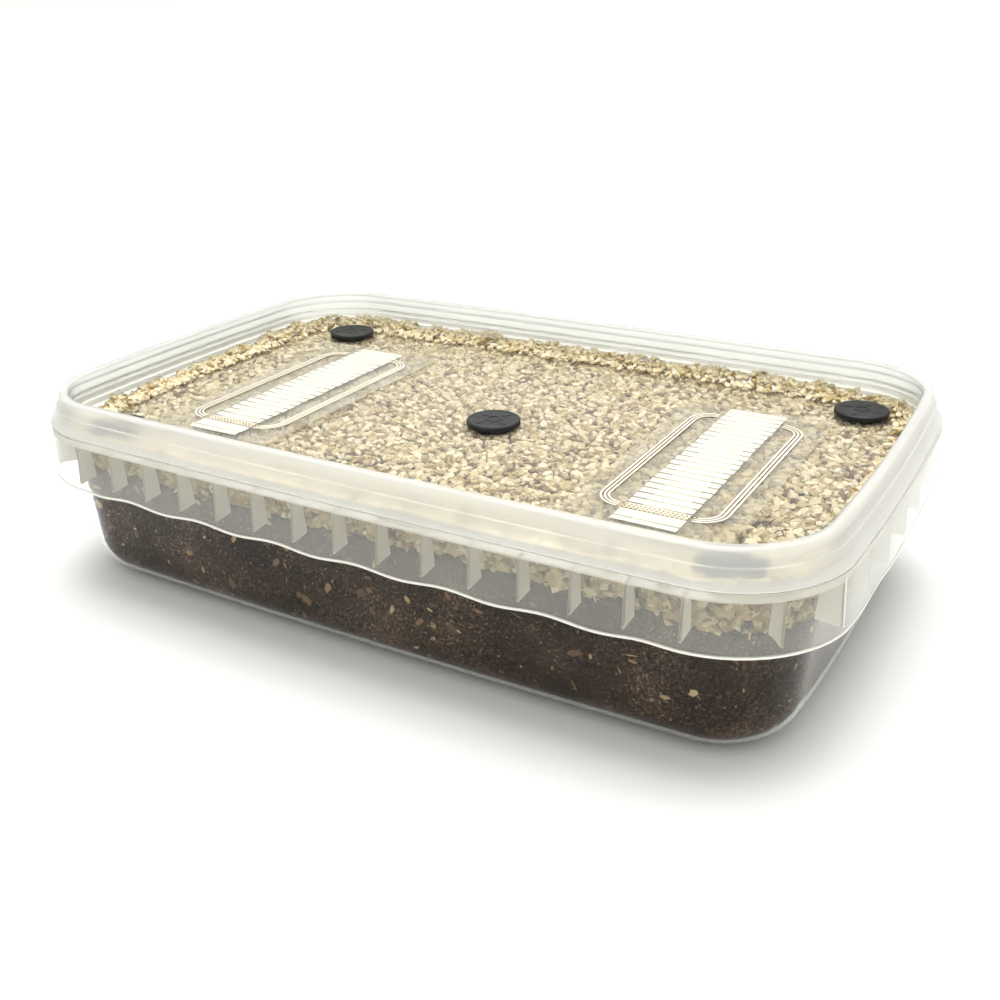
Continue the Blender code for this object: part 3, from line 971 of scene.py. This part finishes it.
def makeBits(chipMaterial, crumbMaterial, fibreMaterial):
    # wood chips, pale crumbs and straw fibres that show at the face of the compost
    rng = np.random.default_rng(23)
    for name, count, size, spread, thickness, flatness, material in (
        ("woodChips", substrate["chips"], (1.2, 8.0), (0.28, 0.8), 0.34, 0.1, chipMaterial),
        ("paleCrumbs", substrate["crumbs"], (0.3, 0.9), (0.6, 1.0), 0.5, 0.5, crumbMaterial),
        ("strawFibres", substrate["fibres"], (2.0, 6.0), (0.05, 0.09), 0.34, 0.1, fibreMaterial),
    ):
        shapes, faces = grainShapes(random.Random(count), thickness, 8)
        around = rng.uniform(0, 1, count)
        # more of them towards the -x end and fewer towards the +x end: a painted shade, as the +x end gets
        # less light
        eastward = planPoints(around, np.zeros(count))[0][:, 0]
        around = around[rng.uniform(0, 1, count) < 0.62 - 0.34 * eastward / halfLength]
        count = len(around)
        heights = np.minimum(4.0 + 41.0 * rng.uniform(0, 1, count), substrate["top"] - 2.4)
        above = heights >= tub["foot"]
        angle = np.arccos(np.clip((tub["foot"] - heights) / (tub["foot"] - 1.8), -1, 1))
        inFoot = tub["footOffset"] - tub["foot"] + (tub["foot"] - 1.58) * np.sin(angle)
        onWall = np.array([wallOffset(h) for h in heights]) - 1.58
        flat, ways = planPoints(around, np.where(above, onWall, inFoot))
        rise = np.where(above, 0.05, -np.cos(angle))
        out = np.column_stack([ways * np.where(above, 1, np.sin(angle))[:, None], rise])
        length = size[0] + (size[1] - size[0]) * rng.beta(1.3, 3.4, count)
        sizes = np.stack([length, length * rng.uniform(*spread, count), length * 0 + 0.9], 1)
        if name == "paleCrumbs":
            sizes[:, 2] = length
        normals = out + rng.normal(0, flatness, (count, 3)) * 0.4
        spots = np.column_stack([flat, heights])
        spins, kinds = rng.uniform(0, 6.28, count), rng.integers(0, 8, count)
        shades = rng.uniform(0, 1, count)
        scatter(
            name, shapes, faces, spots, sizes, normals, spins, kinds, shades,
            material, lambda points: points,
        )


def polypropylene(name, tint, clarity, roughness, ior, hazeSwing, rippleSize=40.0, rippleDepth=0.02):
    # natural polypropylene, injection moulded: see-through with a soft milky haze and faint flow ripples
    material, tree, shader, coordinates = newMaterial(name)
    flow = mottle(tree, coordinates, rippleSize, 2.0)
    cloud = mottle(tree, coordinates, 26.0, 4.0)
    setInputs(tree, shader, {
        "Base Color": linear(tint),
        "IOR": ior,
        "Transmission Weight": ranged(tree, cloud, min(1.0, clarity + hazeSwing), clarity - hazeSwing),
        "Roughness": ranged(tree, cloud, roughness * 0.9, roughness * 1.1),
        "Normal": relief(tree, flow, 0.35, rippleDepth),
    })
    return material


def heatFilm():
    # thin polyolefin film, welded on: clear, wrinkled, whitened a little where it was pulled
    material, tree, shader, coordinates = newMaterial("weldedPolyolefinFilm")
    crease = mottle(tree, coordinates, 5.0, 5.0, 1.4)
    cloud = mottle(tree, coordinates, 14.0, 3.0)
    setInputs(tree, shader, {
        "Base Color": linear("#FFFCF2"),
        "Roughness": 0.02,
        "IOR": 1.2,
        "Transmission Weight": ranged(tree, cloud, 0.98, 0.87),
        "Normal": relief(tree, crease, 0.25, 0.05),
    })
    return material


def mattLineOrShadow(name, darker, lighter, roughness):
    # a small moulded or melted line, or a painted shadow in a score or beside a weld: one tone that wanders
    # a little along its length
    material, tree, shader, coordinates = newMaterial(name)
    wander = mottle(tree, coordinates, 2.5, 3.0)
    setInputs(tree, shader, {
        "Base Color": toned(tree, wander, [(0.35, darker), (0.65, lighter)]),
        "Roughness": roughness,
    })
    return material


def membraneSheet():
    # spun-bonded breathing membrane: matt white, with fine fibres drawn at 0.6 mm so that they show
    material, tree, shader, coordinates = newMaterial("spunbondMembrane")
    fibres = mottle(tree, coordinates, 0.6, 6.0, 2.0)
    setInputs(tree, shader, {
        "Base Color": toned(tree, fibres, [(0.25, "#FAFAF8"), (0.7, "#FFFFFE")]),
        "Roughness": 0.85,
        "Normal": relief(tree, fibres, 0.25, 0.08),
    })
    return material


def mouldedRubber():
    # black moulded rubber: deep grey-black, satin, with a fine bloom that lightens it in patches
    material, tree, shader, coordinates = newMaterial("blackMouldedRubber")
    bloom = mottle(tree, coordinates, 3.5, 4.0)
    setInputs(tree, shader, {
        "Base Color": toned(tree, bloom, [(0.3, "#0A0C0D"), (0.75, "#131618")]),
        "Roughness": ranged(tree, bloom, 0.42, 0.6),
        "Normal": relief(tree, mottle(tree, coordinates, 0.35, 3.0), 0.3, 0.05),
    })
    return material


def dampCompost(name, stops):
    # composted straw and bark: near-black brown, damp, with paler grey-brown patches and fine grit; in
    # other browns it also makes the painted shade under the casing flakes
    material, tree, shader, coordinates = newMaterial(name)
    patch = mottle(tree, coordinates, 22.0, 5.0)
    grit = mottle(tree, coordinates, 0.9, 6.0)
    cell = addNode(tree, "ShaderNodeTexVoronoi", {"Vector": coordinates, "Scale": 1.0 / (1.1 * mm)})
    lumps = relief(tree, cell.outputs["Distance"], 0.8, 0.5)
    setInputs(tree, shader, {
        "Base Color": toned(tree, mixed(tree, 0.62, patch, grit), stops),
        "Roughness": 0.8,
        "Specular IOR Level": 0.05,
        "Normal": relief(tree, grit, 0.8, 0.4, Normal=lumps),
    })
    return material


def looseGrain(name, stops, roughness, size, swing):
    # one tone for each grain, from its tone attribute, broken up by a fine mottle
    material, tree, shader, coordinates = newMaterial(name)
    tone = addNode(tree, "ShaderNodeAttribute", attribute_name="tone", attribute_type="GEOMETRY")
    specks = mottle(tree, coordinates, size, 4.0)
    setInputs(tree, shader, {
        "Base Color": toned(tree, mixed(tree, swing, tone.outputs["Fac"], specks), stops),
        "Roughness": roughness,
        "Normal": relief(tree, specks, 0.5, 0.3),
    })
    return material


def paleFloor():
    # matt painted studio table, almost white
    material, tree, shader, coordinates = newMaterial("mattStudioTable")
    speck = mottle(tree, coordinates, 400.0, 2.0)
    setInputs(tree, shader, {
        "Base Color": toned(tree, speck, [(0.3, "#EBECEA"), (0.7, "#EDEEEC")]),
        "Roughness": 0.9,
        "Specular IOR Level": 0.1,
    })
    return material


# glass-clear where the wall is thinnest
clearWall = polypropylene("clearPolypropyleneWall", "#FEFEFC", 0.998, 0.03, 1.18, 0.002)
# whitish ribs and skirt edge, where light runs along the plastic
milkyEdges = polypropylene("milkyPolypropyleneRibs", "#FFFDF4", 0.25, 0.34, 1.49, 0.02)
# blurred, warm white
milkyBand = polypropylene("milkyPolypropyleneBand", "#F6F4EA", 0.66, 0.34, 1.3, 0.02)
# a light even haze that dims what lies behind
hazySkirt = polypropylene("hazyPolypropyleneSkirt", "#FDFCF6", 0.9, 0.02, 1.3, 0.01)
# frosted, so that what lies behind shows as a soft shape
milkyRim = polypropylene("milkyPolypropyleneRim", "#FDFDFA", 0.64, 0.34, 1.25, 0.03, rippleDepth=0.03)
innerFace = polypropylene("hazyPolypropyleneInner", "#FFFFFD", 0.98, 0.4, 1.2, 0.01)
# clear with a slow ripple
clearPanel = polypropylene("clearPolypropylenePanel", "#FFFFFD", 0.97, 0.02, 1.2, 0.005, rippleSize=45.0)
filmMaterial = heatFilm()
bead = mattLineOrShadow("paleWeldBead", "#FBF6E2", "#FFFDF2", 0.35)
# painted shadow: the thin brown line beside each weld bead
weldEdgeShadow = mattLineOrShadow("paintedWeldEdgeShadow", "#86693E", "#A98B5A", 0.5)
scorchedDots = mattLineOrShadow("yellowedWeldDots", "#7A6335", "#C3AE72", 0.5)
membrane = membraneSheet()
# painted shadows: the shadow in a closed score, and the darker shadow where a score gapes
scoreLine = mattLineOrShadow("shadedScore", "#75726A", "#94918A", 0.9)
gapingScoreShadow = mattLineOrShadow("paintedShadowInOpenScore", "#1D1B18", "#3A3630", 0.9)
rubber = mouldedRubber()
compostStops = [(0.3, "#110B08"), (0.43, "#281C15"), (0.52, "#3F3128"), (0.6, "#5C4A3C"), (0.72, "#A8957A")]
compost = dampCompost("dampCompost", compostStops)
# painted shade: the brown that stands for the shaded depth between the flakes, on a bed laid under them
casingShade = dampCompost("paintedShadeBetweenGrains", [(0.3, "#3A2A14"), (0.5, "#5C4626"), (0.7, "#836C40")])
# matt flakes from brown through gold to cream
flakeStops = [(0.08, "#5E4626"), (0.22, "#8A6E42"), (0.38, "#BAA06C"), (0.55, "#D8C594"), (0.75, "#F1E5C4")]
vermiculiteGrain = looseGrain("expandedVermiculite", flakeStops, 0.7, 1.6, 0.3)
chipStops = [(0.0, "#4A3424"), (0.4, "#6E5239"), (0.65, "#957650"), (0.92, "#D2BE94")]
chip = looseGrain("splitWood", chipStops, 0.75, 0.8, 0.3)
crumbStops = [(0.0, "#3C2B1C"), (0.55, "#6B5640"), (1.0, "#CFBE9D")]
crumb = looseGrain("paleCompostGrit", crumbStops, 0.8, 0.6, 0.2)
fibre = looseGrain("strawFibre", [(0.0, "#6E5636"), (0.5, "#A98C5C"), (1.0, "#D8C393")], 0.6, 0.8, 0.3)

stopperTurns = (20.0, -8.0, 34.0, 55.0, 12.0)
stopperSpots = []
for name, turn in zip(stopperNames, stopperTurns):
    low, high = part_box(name)
    stopperSpots.append(((low.x + high.x) / 2 / mm, (low.y + high.y) / 2 / mm, turn))

makeTub([clearWall, milkyEdges, hazySkirt, milkyBand])
print("tub made")
makeLid([milkyRim, clearPanel, innerFace], stopperSpots)
print("lid made")
for side, sideName in ((-1, "left"), (1, "right")):
    makeStrip(side, f"filter_strip_{sideName}", [membrane, scoreLine, gapingScoreShadow])
    makeFilm(side, f"filter_film_{sideName}", [filmMaterial, bead, weldEdgeShadow, scorchedDots])
print("filters made")
for name, (x, y, turn) in zip(stopperNames, stopperSpots):
    makeStopper(name, x, y, turn, rubber)
print("stoppers made")
makeSubstrate(compost)
makeBits(chip, crumb, fibre)
print("compost made")
makeCasing(casingShade, vermiculiteGrain)
print("casing made")

# a plain pale table, even studio light from all round and a broad soft light from above
floorShape = bmesh.new()
bmesh.ops.create_circle(floorShape, cap_ends=True, segments=64, radius=20.0)
floor = newPiece("studioTable", floorShape, [paleFloor()], body=None)

studio = {"surround": 1.0, "key": 2.3, "keySpread": 46.0, "keyFrom": (-0.04, 0.2, 1.0)}
world = bpy.data.worlds.new("studioSurround")
world.use_nodes = True
world.node_tree.nodes["Background"].inputs["Color"].default_value = linear("#FFFFFC")
world.node_tree.nodes["Background"].inputs["Strength"].default_value = studio["surround"]
bpy.context.scene.world = world
keyData = bpy.data.lights.new("broadSoftLight", "SUN")
keyData.energy = studio["key"]
keyData.angle = math.radians(studio["keySpread"])
key = bpy.data.objects.new("broadSoftLight", keyData)
key.rotation_euler = Vector(studio["keyFrom"]).to_track_quat("Z", "Y").to_euler()
bpy.context.scene.collection.objects.link(key)

view = {
    "from": (0.2020, -0.3382, 0.2015),
    "at": (0.05495, -0.08707, 0.0700),
    "lens": 41.18,
    "roll": -1.0,
}
cameraData = bpy.data.cameras.new("camera")
cameraData.lens = view["lens"]
cameraData.clip_start = 0.01
camera = bpy.data.objects.new("camera", cameraData)
camera.location = view["from"]
aim = (Vector(view["at"]) - Vector(view["from"])).to_track_quat("-Z", "Y")
camera.rotation_mode = "QUATERNION"
camera.rotation_quaternion = aim @ Matrix.Rotation(math.radians(view["roll"]), 3, "Z").to_quaternion()
bpy.context.scene.collection.objects.link(camera)
bpy.context.scene.camera = camera
bpy.context.scene.view_settings.view_transform = "Standard"
